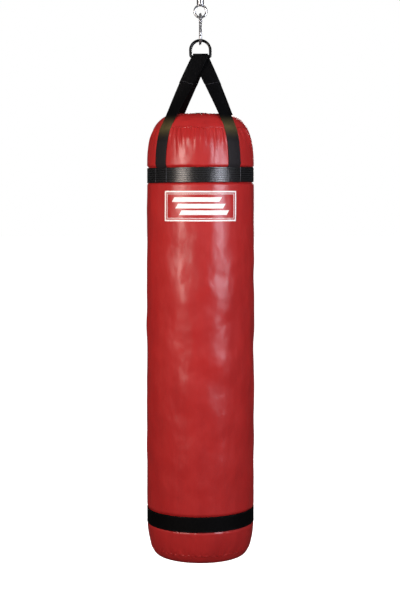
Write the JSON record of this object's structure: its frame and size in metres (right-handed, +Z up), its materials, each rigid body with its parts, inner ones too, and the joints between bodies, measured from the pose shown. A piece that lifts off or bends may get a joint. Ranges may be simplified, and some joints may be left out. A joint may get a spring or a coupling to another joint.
{
  "type": "heavy punching bag",
  "caption": "Cylindrical stuffed heavy bag of red vinyl, hung by webbing straps from D-rings, a snap hook and an eye-and-eye swivel.",
  "frame": {"origin": "where the supporting hook bears, at the top inside the swivel's upper eye", "axes": "+Z up along the bag, -Y the front of the bag, +X to the right seen from the front"},
  "size_m": [0.3556, 0.3556, 1.9057],
  "materials": {
    "red_vinyl": "satin coated vinyl",
    "webbing": "woven black webbing",
    "chrome": "polished plate",
    "black_steel": "gloss black",
    "brass": "plain",
    "canvas": "plain weave",
    "rag": "packed textile",
    "cord": "braided"
  },
  "bodies": {
    "hanger": {"swivel_top_eye": "chrome", "swivel_nut": "chrome", "bearing_lower_race": "chrome"},
    "bearing_cage": {"bearing_cage": "brass", "bearing_ball_1": "chrome", "bearing_ball_2": "chrome", "bearing_ball_3": "chrome", "bearing_ball_4": "chrome", "bearing_ball_5": "chrome", "bearing_ball_6": "chrome", "bearing_ball_7": "chrome", "bearing_ball_8": "chrome"},
    "swivel": {"swivel_barrel": "chrome", "bearing_upper_race": "chrome", "swivel_lower_eye": "chrome"},
    "carabiner": {"carabiner_body": "chrome", "gate_rivet": "chrome"},
    "gate": {"carabiner_gate": "chrome", "gate_spring": "chrome"},
    "bag": {"front_strap": "webbing", "rear_strap": "webbing", "front_strap_doubling": "webbing", "rear_strap_doubling": "webbing", "upper_band": "webbing", "lower_band": "webbing", "shell": "red_vinyl", "top_collar": "red_vinyl", "top_flap": "red_vinyl", "liner": "canvas", "filling": "rag", "base_panel": "red_vinyl", "drawstring": "cord", "drawstring_knot": "cord", "eyelet_1": "chrome", "eyelet_2": "chrome", "eyelet_3": "chrome", "eyelet_4": "chrome", "eyelet_5": "chrome", "eyelet_6": "chrome", "eyelet_7": "chrome", "eyelet_8": "chrome", "eyelet_9": "chrome", "eyelet_10": "chrome", "eyelet_11": "chrome", "eyelet_12": "chrome"},
    "front_ring": {"front_d_ring": "black_steel"},
    "rear_ring": {"rear_d_ring": "black_steel"}
  },
  "joints": [
    {"name": "swivel_spin", "type": "hinge", "parent": "hanger", "child": "swivel", "pos_m": [0, 0, -0.05], "axis": [0, 0, 1], "continuous": true},
    {"name": "cage_spin", "type": "hinge", "parent": "hanger", "child": "bearing_cage", "pos_m": [0, 0, -0.05105], "axis": [0, 0, 1], "continuous": true},
    {"name": "carabiner_swing", "type": "hinge", "parent": "swivel", "child": "carabiner", "pos_m": [0, 0, -0.114], "axis": [1, 0, 0], "range_deg": [-55, 55]},
    {"name": "gate_open", "type": "hinge", "parent": "carabiner", "child": "gate", "pos_m": [0, -0.01735, -0.12903], "axis": [1, 0, 0], "range_deg": [0, 24], "stiffness_Nm_per_rad": 0.15, "springref_deg": -20.05},
    {"name": "bag_swing", "type": "hinge", "parent": "carabiner", "child": "bag", "pos_m": [0, 0, -0.2018], "axis": [0, 1, 0], "range_deg": [-40, 40]},
    {"name": "front_ring_rock", "type": "hinge", "parent": "bag", "child": "front_ring", "pos_m": [0, -0.0115, -0.2445], "axis": [1, 0, 0], "range_deg": [0, 1.5]},
    {"name": "rear_ring_rock", "type": "hinge", "parent": "bag", "child": "rear_ring", "pos_m": [0, 0.0115, -0.2445], "axis": [-1, 0, 0], "range_deg": [0, 1.5]}
  ],
  "couplings": [
    {"joint": "cage_spin", "follows": "swivel_spin", "ratio": 0.5}
  ]
}
